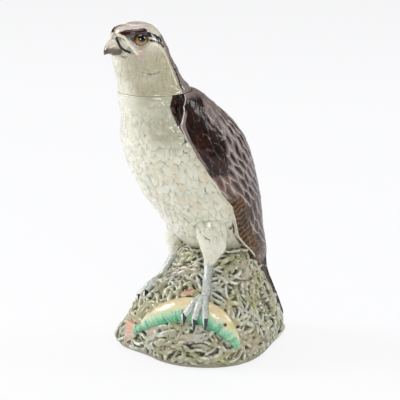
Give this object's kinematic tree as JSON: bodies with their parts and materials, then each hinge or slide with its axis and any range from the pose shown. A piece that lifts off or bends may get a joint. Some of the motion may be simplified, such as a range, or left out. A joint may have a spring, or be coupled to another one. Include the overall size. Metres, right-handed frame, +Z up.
{
  "type": "figural liquor decanter",
  "caption": "Hollow glazed ceramic decanter shaped as a fish hawk that stands on its nest and grips a fish; the head lifts off as a corked stopper.",
  "frame": {"origin": "on the bird's middle plane, on the flat foot of the nest that the decanter stands on", "axes": "+Z up, -Y the way the bird faces, +X the bird's left side"},
  "size_m": [0.0898, 0.1267, 0.197],
  "materials": {
    "nest_glaze": "glossy ceramic glaze, opaque",
    "breast_glaze": "glossy ceramic glaze, opaque",
    "wing_glaze": "glossy ceramic glaze, opaque",
    "tail_glaze": "glossy ceramic glaze, opaque",
    "leg_glaze": "glossy ceramic glaze, opaque",
    "fish_glaze": "glossy ceramic glaze, opaque",
    "head_glaze": "glossy ceramic glaze, opaque",
    "cork": "bare natural cork"
  },
  "bodies": {
    "decanter": {"nest_mound": "nest_glaze", "torso": "breast_glaze", "left_wing": "wing_glaze", "right_wing": "wing_glaze", "tail": "tail_glaze", "left_leg": "leg_glaze", "right_leg": "leg_glaze", "fish": "fish_glaze"},
    "cork": {"cork_sleeve": "cork"},
    "head": {"head": "head_glaze"}
  },
  "joints": [
    {"name": "head_lift", "type": "slide", "parent": "decanter", "child": "cork", "axis": [0, 0, 1], "range_m": [0, 0.05]},
    {"name": "head_turn", "type": "hinge", "parent": "cork", "child": "head", "pos_m": [0, -0.036, 0.158], "axis": [0, 0, 1], "continuous": true}
  ]
}
